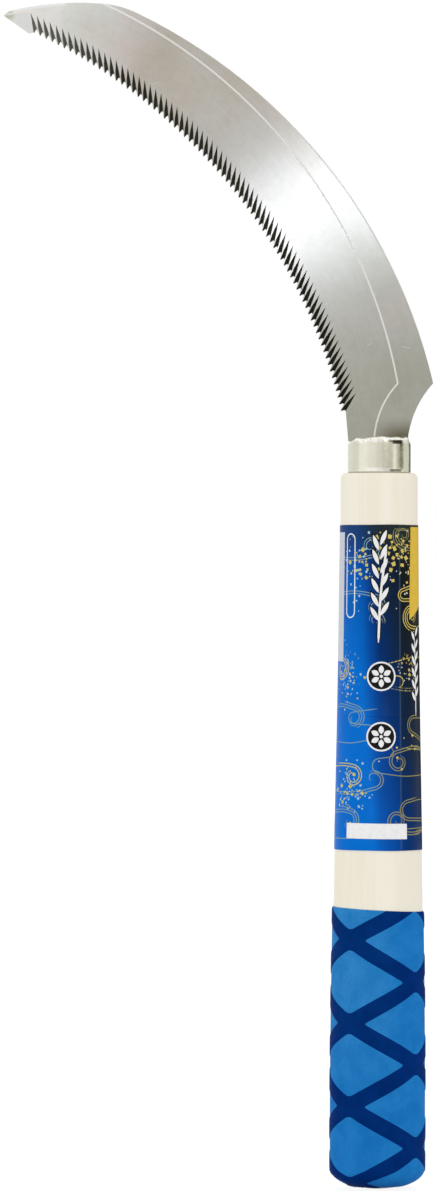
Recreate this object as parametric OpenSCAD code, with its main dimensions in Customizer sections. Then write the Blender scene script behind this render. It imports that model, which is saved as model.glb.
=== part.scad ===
// Serrated hand sickle: stamped saw blade, ferrule and turned wooden handle, standing on its butt

/* [Handle] */
// Length of the handle from its butt to the shoulder under the ferrule
handle_len = 214.3; // [190:0.1:240]
// Diameter of the handle where its rounded butt begins
butt_d = 27.9; // [26:0.1:30]
// Diameter of the handle where the grip sleeve ends
grip_end_d = 26.8; // [25.5:0.1:28]
// Diameter of the handle at its middle
middle_d = 24.5; // [23:0.1:26]
// Diameter of the handle at its shoulder
shoulder_d = 23.1; // [22.2:0.1:24.5]
// Height of the middle station above the butt
middle_z = 145; // [130:1:160]
// Height of the rounding at the butt
butt_round_h = 5.8; // [3:0.1:7]
// Diameter of the flat in the middle of the butt
butt_flat_d = 7; // [5:0.1:9]
// Radius of the rounded shoulder edge
shoulder_round = 1.6; // [0.8:0.1:1.8]

/* [Ferrule] */
// Outer diameter of the ferrule
ferrule_d = 18.8; // [18:0.1:20]
// Wall of the ferrule tube
ferrule_wall = 0.5; // [0.4:0.05:0.8]
// Length of the ferrule
ferrule_len = 10.8; // [9:0.1:16]
// Outer radius of the rolled rim at the mouth
rim_round = 1.0; // [0.9:0.05:1.3]
// How far the rolled rim reaches inwards from the outer wall
rim_reach = 1.3; // [1.1:0.05:1.8]

/* [Blade] */
// Thickness of the blade sheet
sheet_t = 1.2; // [1:0.05:1.5]
// Height of the pressed step along the back
step_h = 0.6; // [0.3:0.05:0.9]
// Width of the slope of the pressed step
step_slope_w = 0.5; // [0.4:0.05:1]
// Distance from the handle axis out to the heel corner
heel_out = 16.1; // [14.5:0.1:18]
// Height of the heel corner above the ferrule mouth
heel_up = 16.2; // [14:0.1:20]
// Radius of the hollow between heel and neck
heel_r = 30; // [24:0.5:40]
// Distance from the handle axis to the right edge of the neck at the ferrule
neck_right = 8.6; // [8:0.1:9]
// Distance from the handle axis to the left edge of the neck at the ferrule
neck_left = 9.3; // [8.6:0.1:9.35]
// Distance from the handle axis to the neck's left edge where the teeth begin
neck_top_out = 10.1; // [9.6:0.1:10.6]
// Height above the ferrule mouth where the neck's left edge meets the teeth
neck_top_up = 7.8; // [6.8:0.1:8]
// Radius of the long back curve
back_r = 165; // [155:0.5:175]
// Angle of the back curve's radius at the heel
back_lean = 13.3; // [11:0.1:15.5]
// Angle that the long back curve turns through
back_sweep = 51; // [47:0.5:54]
// Radius of the short curve where the back turns to the tip
crown_r = 30; // [20:1:40]
// Angle that the short curve turns through
crown_sweep = 21.4; // [15:0.1:25]
// Radius of the flat curve out to the tip
tip_r = 89; // [80:1:110]
// Angle that the flat curve turns through
tip_sweep = 17.9; // [16:0.1:20]
// Length of the short cut across the point
tip_cut = 2.3; // [1.5:0.1:3]
// Angle above level of the short cut across the point
tip_cut_rise = 37.5; // [30:0.5:45]
// Width of the back strip at the heel
strip_w = 10.9; // [9:0.1:12]
// Radius of the pressed step along the back
step_r = 156; // [152:0.5:162]
// Radius of the pressed step down the neck
neck_step_r = 27.5; // [24:0.5:34]
// Distance from the handle axis to the pressed step at the ferrule
neck_step_left = 1.8; // [1.2:0.1:2.4]

/* [Teeth] */
// Radius of the toothed edge
edge_r = 169.5; // [160:0.5:180]
// Angle of the toothed edge's radius at the first tooth
edge_lean = 13.8; // [13:0.1:14.6]
// Distance from the handle axis out to the first tooth
tooth_start_out = 11.6; // [11.2:0.1:12]
// Height of the first tooth above the ferrule mouth
tooth_start_up = 8.1; // [7.8:0.1:8.6]
// Length of the plain edge behind the tip
plain_edge_len = 9.4; // [8.5:0.1:10.5]
// Angle below level of the plain edge behind the tip
plain_edge_fall = 35; // [33:0.1:37]
// Pitch of the teeth along the edge
tooth_pitch = 2.04; // [1.6:0.01:3]
// Length of the ground groove nearest the handle
first_groove_len = 7.9; // [5:0.1:8.5]
// Length of the ground groove nearest the tip
last_groove_len = 7.0; // [5:0.1:8]
// Slant of the grooves away from square to the edge
groove_slant = 44; // [20:1:48]
// Depth of each groove at the edge
groove_depth = 0.84; // [0.7:0.01:1.1]
// Part of the groove's width that its steep wall takes
steep_wall_part = 0.26; // [0.15:0.01:0.5]
// Width of the bevel ground on the back of the edge
bevel_w = 2.2; // [1.8:0.1:3]
// Thickness left at the edge by the bevel
edge_t = 0.12; // [0.1:0.01:0.3]
// Tilt of the flat ground on the front of the plain edge
tip_grind_tilt = 5; // [3:0.5:6]
// Width of the narrow bevel along the back of the tip
tip_bevel_w = 0.8; // [0.5:0.1:1.2]
// Depth of the narrow bevel along the back of the tip
tip_bevel_d = 0.25; // [0.15:0.01:0.4]
// Angle that the narrow bevel runs along the back of the tip
tip_bevel_sweep = 11; // [8:0.5:14]

/* [Tang and pin] */
// Width of the tang inside the handle
tang_w = 13; // [11:0.1:14]
// Length of the tang below the ferrule mouth
tang_len = 60; // [50:1:75]
// Length of the taper at the end of the tang
tang_taper = 6; // [3:0.5:10]
// How far the blade's shoulders stand below the ferrule mouth
shoulder_drop = 1.3; // [1:0.1:1.8]
// Diameter of the pin through handle and tang
pin_d = 3; // [2.5:0.1:3.5]
// Depth of the pin below the ferrule mouth
pin_drop = 34; // [30:0.5:38]
// How far the pin's ends stay below the wood
pin_sink = 0.4; // [0.3:0.05:0.8]

/* [Label] */
// Bare wood between the grip sleeve and the label film
label_above_grip = 17.7; // [8:0.1:24]
// Bare wood between the label film and the shoulder
label_below_shoulder = 15.6; // [8:0.1:22]
// Thickness of the label film
film_t = 0.15; // [0.1:0.01:0.3]

/* [Grip sleeve] */
// Height of the grip sleeve's upper edge
grip_len = 83.8; // [70:0.1:92]
// Wall of the grip sleeve between its raised bands
grip_wall = 0.25; // [0.2:0.01:0.5]
// Height of the raised crossing bands
band_h = 0.2; // [0.1:0.01:0.4]
// Diameter of the opening that the shrunk end leaves at the butt
grip_opening_d = 15; // [12:0.5:18]
// Rise of a band in one full turn
band_lead = 49.5; // [40:0.5:60]
// Turn of the band pattern about the handle
band_turn = 52; // [0:1:90]

/* [Clearances] */
// Gap between the wood and what is shrunk, glued or pressed on it
wood_fit = 0.02; // [0.01:0.01:0.05]
// Gap around the tang in its mortise
tang_fit = 0.1; // [0.05:0.01:0.2]
// Gap between the pin and the hole in the tang
pin_fit = 0.1; // [0.05:0.01:0.2]

/* [Hidden] */
$fn = 96;

// How far cutting shapes reach past what they cut
over = 1;
// How far a corner stays off a face that would otherwise run through it
nick = 0.05;
// Steps along a computed curve
curve_steps = 10;
dome_steps = 6;
round_steps = 5;
wood_steps = 14;

mouth_z = handle_len + ferrule_len;
butt_r = butt_d / 2;
butt_flat_r = butt_flat_d / 2;
ferrule_r = ferrule_d / 2;
bore_r = ferrule_r - ferrule_wall;
tenon_top = mouth_z - shoulder_drop - wood_fit;
label_bottom = grip_len + label_above_grip;
label_top = handle_len - label_below_shoulder;

function dir(a) = [cos(a), sin(a)];
function angle_of(v) = atan2(v.y, v.x);
function arc(c, r, a0, a1, n) = [for (i = [0:n]) c + r * dir(a0 + (a1 - a0) * i / n)];

// Centre of the circle of radius r through p and q that lies to the left on the way from p to q
function centre_left(p, q, r) =
    let (d = q - p, l = norm(d)) (p + q) / 2 + [-d.y, d.x] / l * sqrt(r * r - l * l / 4);

// Outline of the turned wood: a smooth curve through four measured diameters
stations = [[butt_round_h, butt_d], [grip_len, grip_end_d], [middle_z, middle_d], [handle_len, shoulder_d]];
function weight(i, z) = let (s = stations)
    (i == 0 ? 1 : (z - s[0].x) / (s[i].x - s[0].x)) *
    (i == 1 ? 1 : (z - s[1].x) / (s[i].x - s[1].x)) *
    (i == 2 ? 1 : (z - s[2].x) / (s[i].x - s[2].x)) *
    (i == 3 ? 1 : (z - s[3].x) / (s[i].x - s[3].x));
function turned_r(z) = [for (i = [0:3]) weight(i, z) * stations[i].y / 2] * [1, 1, 1, 1];

wood_top = handle_len - shoulder_round;
wood_curve = [for (i = [0:wood_steps])
    let (z = butt_round_h + (wood_top - butt_round_h) * i / wood_steps) [z, turned_r(z)]];
function wood_r(z) = lookup(z, wood_curve);
function wood_between(z0, z1) = concat(
    [[wood_r(z0), z0]],
    [for (w = wood_curve) if (w.x > z0 + over && w.x < z1 - over) [w.y, w.x]],
    [[wood_r(z1), z1]]);

// Rounded butt: an ellipse cut level at the flat, by its angle from the flat to the side of the handle
flat_angle = asin(butt_flat_r / butt_r);
opening_angle = asin(grip_opening_d / 2 / butt_r);
butt_ellipse_h = butt_round_h / cos(flat_angle);
function butt_angle(j) = opening_angle + (90 - opening_angle) * j / dome_steps;
function butt_point(a) = [butt_r * sin(a), butt_ellipse_h * (cos(flat_angle) - cos(a))];
function butt_normal(a) = let (n = [butt_ellipse_h * sin(a), -butt_r * cos(a)]) n / norm(n);

// Points of the blade's plan, measured from the handle axis at the ferrule mouth
heel = [heel_out, heel_up];
neck = [neck_right, 0];
heel_centre = centre_left(heel, neck, heel_r);
back_centre = heel - back_r * dir(back_lean);
crown_start = back_lean + back_sweep;
crown_end = crown_start + crown_sweep;
crown_centre = back_centre + (back_r - crown_r) * dir(crown_start);
tip_centre = crown_centre + (crown_r - tip_r) * dir(crown_end);
tip_back = tip_centre + tip_r * dir(crown_end + tip_sweep);
tip = tip_back - tip_cut * dir(tip_cut_rise);
plain_end = tip + plain_edge_len * dir(-plain_edge_fall);
edge_centre = [-tooth_start_out, tooth_start_up] - edge_r * dir(edge_lean);
step_start = heel - [strip_w, 0];
step_end = crown_centre + crown_r * dir(crown_end);
step_centre = centre_left(step_start, step_end, step_r);
neck_step_centre = centre_left(step_start, [-neck_step_left, 0], neck_step_r);

// Each tooth's point is a whole number of pitches along the edge, and its groove lies on the handle's side of it
pitch_angle = tooth_pitch / edge_r * 180 / PI;
last_tooth = floor((angle_of(plain_end - edge_centre) - edge_lean) / pitch_angle);
function point_angle(i) = edge_lean + i * pitch_angle;
function groove_angle(i) = point_angle(i) - (1 - steep_wall_part) * pitch_angle;
function on_edge(a, inside = 0) = edge_centre + (edge_r + inside) * dir(a);
function groove_len(i) = first_groove_len + (last_groove_len - first_groove_len) * i / last_tooth;
last_point = on_edge(point_angle(last_tooth), nick);
last_apex = on_edge(groove_angle(last_tooth)) + last_groove_len * dir(groove_angle(last_tooth) + groove_slant);

// Levels of the blade's faces, front upwards, about the middle of the pressed sheet
front_z = (sheet_t + step_h) / 2;
back_z = -front_z;
field_z = front_z - step_h;

// Plan of the blank before the teeth are ground
module blank_plan() {
    outside = (back_r + 4 * over) * dir(crown_start);
    difference() {
        intersection() {
            translate(back_centre) circle(r = back_r);
            polygon(concat(
                [[-tang_w / 2, -shoulder_drop], [-neck_left, -shoulder_drop]],
                [[-neck_top_out, neck_top_up], on_edge(edge_lean, -over), last_point, plain_end, tip],
                arc(tip_centre, tip_r, crown_end + tip_sweep, crown_end, curve_steps),
                arc(crown_centre, crown_r, crown_end, crown_start, curve_steps),
                [back_centre + outside, [heel_out + 4 * over, tip.y], [heel_out + 4 * over, -shoulder_drop]],
                [[tang_w / 2, -shoulder_drop], [tang_w / 2, -tang_len + tang_taper]],
                [[tang_w / 4, -tang_len], [-tang_w / 4, -tang_len]],
                [[-tang_w / 2, -tang_len + tang_taper]]));
        }
        intersection() {
            translate(edge_centre) circle(r = edge_r);
            polygon(concat([edge_centre], [for (a = [0, edge_lean, point_angle(last_tooth)]) on_edge(a, edge_r)]));
        }
        translate(heel_centre) circle(r = heel_r);
    }
}

// Space in front of the pressed sheet: over the toothed field it starts a step lower than over the back strip
module space_in_front() {
    rise = 2 * sheet_t + step_h;
    slope = step_slope_w / step_h;
    reach = 2 * back_r;
    difference() {
        translate([step_centre.x, step_centre.y, field_z])
            cylinder(h = rise, r1 = step_r, r2 = step_r + slope * rise);
        translate([neck_step_centre.x, neck_step_centre.y, field_z - over])
            cylinder(h = rise + 2 * over, r1 = neck_step_r + slope * over, r2 = neck_step_r - slope * (rise + over));
        translate([-neck_step_left, 0, field_z]) rotate([90, 0, 0]) linear_extrude(tang_len + over)
            polygon([[0, 0], [0, -over], [reach, -over], [reach, rise + over],
                [slope * (rise + over), rise + over]]);
    }
    translate([-reach, -reach, front_z]) cube([2 * reach, 2 * reach, rise - step_h]);
}

// Long V cut whose bottom runs through two points, given as distance along +X and height
module v_cut(from, to) {
    open_w = tooth_pitch * cos(groove_slant);
    side = 3;
    translate([from.x, 0, from.y]) rotate([0, -angle_of(to - from), 0]) rotate([90, 0, 90])
        linear_extrude(4 * max(first_groove_len, last_groove_len), center = true)
            polygon([[0, 0], side * [(1 - steep_wall_part) * open_w, groove_depth],
                side * [-steep_wall_part * open_w, groove_depth]]);
}

// One ground groove, as wide as the pitch where it meets the edge at the origin, running out along +X.
// The round wheel leaves its bottom ever steeper on the way out, so it bends where most of the depth is left.
module groove(length) {
    depth_at_bend = groove_depth * 3 / 4;
    edge = [0, field_z - groove_depth];
    bend = [length / 2, field_z - depth_at_bend];
    apex = [length, field_z];
    intersection() {
        v_cut(edge, bend);
        v_cut(bend, apex);
    }
}

// Bevel ground on the back, all along the teeth
module edge_bevel() {
    slope = (sheet_t - edge_t) / bevel_w;
    translate(edge_centre) rotate([0, 0, point_angle(-1)])
        rotate_extrude(angle = point_angle(last_tooth) - point_angle(-1))
            polygon([[edge_r + bevel_w, back_z], [edge_r + bevel_w, back_z - over],
                [edge_r - over, back_z - over], [edge_r - over, back_z + slope * (bevel_w + over)]]);
}

// Flat ground on the front between the last groove and the plain edge, falling from the line out to the tip
module tip_flat() {
    reach = 2 * plain_edge_len;
    intersection() {
        translate([0, 0, back_z]) linear_extrude(front_z - back_z)
            polygon([last_apex + [0, reach], last_apex, last_point, last_point - [0, reach],
                tip - [reach, reach], tip + [-reach, reach]]);
        translate([last_apex.x, last_apex.y, field_z])
            rotate([0, 0, angle_of(tip - last_apex)]) rotate([-tip_grind_tilt, 0, 0])
                translate([-reach, -reach, 0]) cube([3 * reach, 3 * reach, reach]);
    }
}

// Narrow bevel along the back of the tip
module tip_bevel() {
    slope = tip_bevel_d / tip_bevel_w;
    translate(tip_centre) rotate([0, 0, crown_end + tip_sweep - tip_bevel_sweep])
        rotate_extrude(angle = tip_bevel_sweep + over)
            polygon([[tip_r - tip_bevel_w, field_z + over], [tip_r - tip_bevel_w, field_z],
                [tip_r + over, field_z - slope * (tip_bevel_w + over)], [tip_r + over, field_z + over]]);
}

module blade() {
    color([0.78, 0.77, 0.75])
    translate([0, 0, mouth_z]) rotate([90, 0, 0])
    difference() {
        intersection() {
            translate([0, 0, back_z]) linear_extrude(front_z - back_z) blank_plan();
            translate([0, 0, -sheet_t]) space_in_front();
        }
        space_in_front();
        for (i = [0:last_tooth])
            translate(on_edge(groove_angle(i))) rotate([0, 0, groove_angle(i) + groove_slant]) groove(groove_len(i));
        edge_bevel();
        tip_flat();
        tip_bevel();
        translate([0, -pin_drop, back_z - over])
            cylinder(h = front_z - back_z + 2 * over, d = pin_d + 2 * pin_fit);
    }
}

module ferrule() {
    slot_w = sheet_t + step_h + 2 * tang_fit;
    slot_h = shoulder_drop + wood_fit;
    inner_round = rim_round - ferrule_wall;
    lip_r = ferrule_r - rim_reach;
    color([0.85, 0.84, 0.82])
    difference() {
        translate([0, 0, handle_len]) rotate_extrude() polygon(concat(
            [[bore_r, 0], [ferrule_r, 0]],
            arc([ferrule_r - rim_round, ferrule_len - rim_round], rim_round, 0, 90, round_steps),
            [[lip_r, ferrule_len], [lip_r, ferrule_len - ferrule_wall]],
            arc([bore_r - inner_round, ferrule_len - rim_round], inner_round, 90, 0, round_steps)));
        translate([-ferrule_r - over, -slot_w / 2, mouth_z - slot_h])
            cube([2 * (ferrule_r + over), slot_w, slot_h + over]);
    }
}

module handle() {
    tenon_r = bore_r - wood_fit;
    tenon_edge = 0.5;
    mortise_w = tang_w + 2 * tang_fit;
    mortise_t = sheet_t + step_h + 2 * tang_fit;
    mortise_z = mouth_z - tang_len - over;
    color([0.93, 0.88, 0.79])
    difference() {
        rotate_extrude() polygon(concat(
            [[0, 0], butt_point(flat_angle), butt_point((flat_angle + opening_angle) / 2)],
            [for (j = [0:dome_steps]) butt_point(butt_angle(j))],
            [for (i = [1:wood_steps - 1]) [wood_curve[i].y, wood_curve[i].x]],
            arc([wood_r(wood_top) - shoulder_round, wood_top], shoulder_round, 0, 90, round_steps),
            [[tenon_r, handle_len], [tenon_r, tenon_top - tenon_edge], [tenon_r - tenon_edge, tenon_top]],
            [[0, tenon_top]]));
        translate([-mortise_w / 2, -mortise_t / 2, mortise_z])
            cube([mortise_w, mortise_t, mouth_z - mortise_z]);
        translate([0, 0, mouth_z - pin_drop]) rotate([90, 0, 0])
            cylinder(h = 2 * butt_r, d = pin_d + 2 * wood_fit, center = true);
    }
}

module tang_pin() {
    pin_z = mouth_z - pin_drop;
    color([0.6, 0.6, 0.6])
    translate([0, 0, pin_z]) rotate([90, 0, 0])
        cylinder(h = 2 * (wood_r(pin_z) - pin_sink), d = pin_d, center = true);
}

module label_sleeve() {
    inner = [for (p = wood_between(label_bottom, label_top)) p + [wood_fit, 0]];
    color([0.03, 0.25, 0.6])
    rotate_extrude() polygon(concat(
        inner, [for (i = [len(inner) - 1:-1:0]) inner[i] + [film_t, 0]]));
}

// The sleeve's skin is a grid of columns round the handle and rows up it.
// A quarter turn has as many columns as a quarter of the band's lead has rows, so the bands follow its diagonals.
quarter = 9;
columns = 4 * quarter;
rows_up = round((grip_len - butt_round_h) / (band_lead / columns));
row_h = (grip_len - butt_round_h) / rows_up;
crossing_row = dome_steps + 14.5;
band_half_rows = 2;

function from_band(q) = let (m = (q % (2 * quarter) + 2 * quarter) % (2 * quarter)) min(m, 2 * quarter - m);
function banded(i, j) = min(from_band(i + j - crossing_row), from_band(i - j + crossing_row)) < band_half_rows;
function relief(i, j) = j > 0 && j < dome_steps + rows_up && banded(i, j) ? band_h : 0;

function skin_base(j) = j <= dome_steps
    ? butt_point(butt_angle(j))
    : let (z = butt_round_h + (j - dome_steps) * row_h) [wood_r(z), z];
function skin_normal(j) = j <= dome_steps ? butt_normal(butt_angle(j)) : [1, 0];
function ring_point(p, i) = let (a = i * 360 / columns, r = p.x / cos(180 / columns)) [r * cos(a), r * sin(a), p.y];

module grip_sleeve() {
    rows = dome_steps + rows_up;
    inner = concat(
        [for (j = [0:dome_steps]) skin_base(j) + wood_fit * skin_normal(j)],
        [for (p = wood_between(butt_round_h, grip_len)) if (p.y > butt_round_h) p + [wood_fit, 0]]);
    outer_points = [for (j = [0:rows], i = [0:columns - 1])
        ring_point(skin_base(j) + (wood_fit + grip_wall + relief(i, j)) * skin_normal(j), i)];
    inner_points = [for (p = inner, i = [0:columns - 1]) ring_point(p, i)];
    first_inner = len(outer_points);
    last_inner = first_inner + (len(inner) - 1) * columns;
    function next(i) = (i + 1) % columns;
    outer_faces = [for (j = [0:rows - 1], i = [0:columns - 1])
        let (a = j * columns + i, b = j * columns + next(i), c = b + columns, d = a + columns)
        each relief(i, j) == relief(i + 1, j + 1) ? [[a, c, b], [a, d, c]] : [[a, d, b], [b, d, c]]];
    inner_faces = [for (j = [0:len(inner) - 2], i = [0:columns - 1])
        let (a = first_inner + j * columns + i, b = first_inner + j * columns + next(i))
        each [[a, b, b + columns], [a, b + columns, a + columns]]];
    butt_faces = [for (i = [0:columns - 1])
        each [[i, next(i), first_inner + next(i)], [i, first_inner + next(i), first_inner + i]]];
    top_faces = [for (i = [0:columns - 1])
        let (a = rows * columns + i, b = rows * columns + next(i))
        each [[a, last_inner + next(i), b], [a, last_inner + i, last_inner + next(i)]]];
    color([0.16, 0.47, 0.74])
    rotate([0, 0, band_turn - 90])
        polyhedron(
            points = concat(outer_points, inner_points),
            faces = concat(outer_faces, inner_faces, butt_faces, top_faces));
}

blade();
ferrule();
handle();
tang_pin();
label_sleeve();
grip_sleeve();
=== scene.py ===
import math
import random

import bmesh
import bpy
from mathutils import Matrix, Vector


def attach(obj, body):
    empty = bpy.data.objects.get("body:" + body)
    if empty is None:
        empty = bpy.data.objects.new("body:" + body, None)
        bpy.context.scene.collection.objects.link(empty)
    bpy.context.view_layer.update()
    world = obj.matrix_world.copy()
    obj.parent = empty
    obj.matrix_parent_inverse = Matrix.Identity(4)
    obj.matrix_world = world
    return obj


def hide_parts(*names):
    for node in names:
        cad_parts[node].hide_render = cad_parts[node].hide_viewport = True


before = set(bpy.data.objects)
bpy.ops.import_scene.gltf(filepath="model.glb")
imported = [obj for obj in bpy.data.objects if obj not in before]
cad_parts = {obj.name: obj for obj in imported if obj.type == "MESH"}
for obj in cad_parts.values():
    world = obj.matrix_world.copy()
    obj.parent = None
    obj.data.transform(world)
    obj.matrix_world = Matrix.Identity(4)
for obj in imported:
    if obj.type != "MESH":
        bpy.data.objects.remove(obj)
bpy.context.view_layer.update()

MM = 0.001

# Measures from part.scad, in millimetres
HANDLE_LEN = 214.3
MOUTH_Z = 225.1
FERRULE_R = 9.4
FERRULE_WALL = 0.5
FERRULE_LEN = 10.8
RIM_ROUND = 1.0
GRIP_LEN = 83.8
GRIP_WALL = 0.25
BAND_H = 0.2
GRIP_OPENING_R = 7.5
BUTT_ROUND_H = 5.8
BUTT_FLAT_R = 3.5
BUTT_R = 13.95
WOOD_FIT = 0.02
FILM_T = 0.15
LABEL_BOTTOM = 101.5
LABEL_TOP = 198.7
EDGE_CENTRE = (-176.2, 192.8)
BACK_CENTRE = (-144.5, 203.3)
BACK_R = 165.0
TIP = (-113.1, 351.5)
# Heights and diameters that the wood passes through
STATIONS = [(BUTT_ROUND_H, 2 * BUTT_R), (GRIP_LEN, 26.8), (145.0, 24.5), (HANDLE_LEN, 23.1)]
# The ground faces of the blade lie within this radius about EDGE_CENTRE, or left of this X at the tip
GROOVES_END_R = 175.2
TIP_BEVEL_X = -83.5
# Middle and mean radius of the arcs that the blade was polished along
BRUSH_CENTRE = (-147.9, 212.7)
BRUSH_R = 163.0
# Welded seam of the label film: angle from the front, height, and the angles where meshes are cut for it
SEAM = math.radians(30)
SEAM_H = 0.06
SEAM_TURNS = [SEAM + math.radians(d) for d in (-1.9, -1.4, -0.9, -0.4, 0.4, 0.9, 1.4, 1.9)]

# The photo: its size, the pixel of the origin, millimetres in a pixel, and its lean
PHOTO_W, PHOTO_H = 436, 1191
ORIGIN_PX = (377.2, 1187.5)
PIXEL_MM = 0.30
PHOTO_LEAN = 0.0028
# The camera's distance in metres, and its sensor's width in millimetres
CAMERA_DISTANCE = 2.0
SENSOR = 36


def wood_r(z):
    """Radius of the turned wood, through the four stations of part.scad."""
    total = 0.0
    for i, (zi, di) in enumerate(STATIONS):
        weight = 1.0
        for k, (zk, _) in enumerate(STATIONS):
            if k != i:
                weight *= (z - zk) / (zi - zk)
        total += weight * di / 2
    return total


def smooth(t):
    """0 below 0, 1 above 1, and a soft rise between."""
    t = min(max(t, 0.0), 1.0)
    return t * t * (3 - 2 * t)


def show(name, data):
    """An object of the given data, put into the scene."""
    made = bpy.data.objects.new(name, data)
    bpy.context.scene.collection.objects.link(made)
    return made


def mesh_of(bm, name, *materials):
    """A mesh with its materials, from a bmesh, which is freed."""
    mesh = bpy.data.meshes.new(name)
    bm.to_mesh(mesh)
    bm.free()
    for material in materials:
        mesh.materials.append(material)
    return mesh


def make_camera():
    """A long lens, level with the middle of the photo and rolled by its lean, a sixth of a degree."""
    roll = PHOTO_LEAN
    across, up = PHOTO_W / 2 - ORIGIN_PX[0], ORIGIN_PX[1] - PHOTO_H / 2
    centre = Vector((PIXEL_MM * (across - roll * up), 0, PIXEL_MM * (up + roll * across))) * MM
    data = bpy.data.cameras.new("camera")
    data.sensor_width = SENSOR
    data.lens = SENSOR * CAMERA_DISTANCE / (PHOTO_H * PIXEL_MM * MM)
    data.clip_start, data.clip_end = 0.1, 50
    cam = show("camera", data)
    right, top = Vector((1, 0, roll)).normalized(), Vector((-roll, 0, 1)).normalized()
    back = right.cross(top)
    turn = Matrix((right, top, back)).transposed()
    cam.matrix_world = Matrix.Translation(centre + back * CAMERA_DISTANCE) @ turn.to_4x4()
    bpy.context.scene.camera = cam


make_camera()


class Nodes:
    """Short ways to write the nodes of a material or world. Values are numbers, colours or outputs."""

    def __init__(self, owner):
        owner.use_nodes = True
        self.owner = owner
        self.tree = owner.node_tree
        self.tree.nodes.clear()

    def put(self, socket, value):
        """Links an output to a socket, or sets the socket to a number or colour."""
        if isinstance(value, bpy.types.NodeSocket):
            self.tree.links.new(value, socket)
        elif socket.type == "RGBA" and isinstance(value, tuple):
            socket.default_value = (*value, 1)
        else:
            socket.default_value = value

    def node(self, kind, values=(), **settings):
        made = self.tree.nodes.new(kind)
        for key, value in settings.items():
            setattr(made, key, value)
        for key, value in dict(values).items():
            self.put(made.inputs[key], value)
        return made

    def math(self, op, *values, clamp=False):
        return self.node("ShaderNodeMath", enumerate(values), operation=op, use_clamp=clamp).outputs[0]

    def times(self, a, b):
        return self.math("MULTIPLY", a, b)


class Net(Nodes):
    """The nodes of a material with one Principled shader, whose fixed values are given by name."""

    def __init__(self, name, slots):
        super().__init__(bpy.data.materials.new(name))
        self.bsdf = self.node("ShaderNodeBsdfPrincipled", slots)
        self.node("ShaderNodeOutputMaterial", {"Surface": self.bsdf.outputs[0]})

    def vec(self, op, *values):
        made = self.node("ShaderNodeVectorMath", enumerate(values), operation=op)
        return made.outputs["Value" if op in ("LENGTH", "DOT_PRODUCT", "DISTANCE") else "Vector"]

    def mix(self, factor, a, b, blend="MIX"):
        """From colour a to colour b. The mix node's colour sockets are inputs 6 and 7 and output 2."""
        made = self.node("ShaderNodeMix", {0: factor, 6: a, 7: b}, data_type="RGBA", blend_type=blend)
        return made.outputs[2]

    def tint(self, factor, tone, colour):
        """The tone, darkened or tinged by a colour that is multiplied in."""
        return self.mix(factor, tone, colour, "MULTIPLY")

    def ramp(self, factor, stops):
        """A colour or shade that follows the factor through its stops, as (place, colour) pairs."""
        made = self.node("ShaderNodeValToRGB", {"Fac": factor})
        line = made.color_ramp
        while len(line.elements) < len(stops):
            line.elements.new(0.5)
        for element, (place, colour) in zip(line.elements, stops):
            element.position = place
            element.color = (*colour, 1) if isinstance(colour, tuple) else (colour, colour, colour, 1)
        return made.outputs["Color"]

    def step(self, value, low, high, a=0.0, b=1.0):
        """From a to b, softly, while the value goes from low to high."""
        limits = {"Value": value, "From Min": low, "From Max": high, "To Min": a, "To Max": b}
        return self.node("ShaderNodeMapRange", limits, interpolation_type="SMOOTHSTEP").outputs[0]

    def noise(self, vector, scale, detail=3.0, roughness=0.55, distortion=0.0):
        values = {"Vector": vector, "Scale": scale, "Detail": detail, "Roughness": roughness}
        values["Distortion"] = distortion
        return self.node("ShaderNodeTexNoise", values).outputs["Fac"]

    def bump(self, height, strength, distance_mm):
        values = {"Height": height, "Strength": strength, "Distance": distance_mm * MM}
        return self.node("ShaderNodeBump", values).outputs[0]

    def place(self):
        """Object coordinates in millimetres."""
        coord = self.node("ShaderNodeTexCoord").outputs["Object"]
        return self.vec("MULTIPLY", coord, (1000, 1000, 1000))

    def split(self, vector):
        return self.node("ShaderNodeSeparateXYZ", {"Vector": vector}).outputs

    def join(self, x, y, z):
        return self.node("ShaderNodeCombineXYZ", {"X": x, "Y": y, "Z": z}).outputs[0]

    def around(self, vector):
        """Angle about the handle's axis from its front, in radians, and height."""
        x, y, z = self.split(vector)
        back = self.times(y, -1.0)
        return self.math("ARCTAN2", x, back), z

    def spot(self, vector, centre, inner, outer):
        """1 near a point, falling to 0 between the inner and the outer distance."""
        return self.step(self.vec("DISTANCE", vector, centre), inner, outer, 1.0, 0.0)

    def mark(self, vector, centre, degrees, length, width):
        """1 along a short straight mark in the blade's plane, falling to 0 at its sides and ends."""
        turn = math.radians(degrees)
        off = self.vec("SUBTRACT", vector, (centre[0], 0, centre[1]))
        along = self.vec("DOT_PRODUCT", off, (math.cos(turn), 0, math.sin(turn)))
        across = self.vec("DOT_PRODUCT", off, (-math.sin(turn), 0, math.cos(turn)))
        ends = self.step(self.math("ABSOLUTE", along), length * 0.3, length / 2, 1.0, 0.0)
        sides = self.step(self.math("ABSOLUTE", across), 0.0, width, 1.0, 0.0)
        return self.times(ends, sides)

    def use(self, **links):
        """Feeds the shader and gives the finished material."""
        for key, value in links.items():
            self.put(self.bsdf.inputs[key.replace("_", " ")], value)
        return self.owner


def polar(net, place, centre):
    """The way from a centre to the place, flat in the blade's plane, with its length and its angle."""
    flat = net.vec("MULTIPLY", net.vec("SUBTRACT", place, (centre[0], 0, centre[1])), (1, 0, 1))
    x, _, z = net.split(flat)
    return flat, net.vec("LENGTH", flat), net.math("ARCTAN2", z, x)


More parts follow.
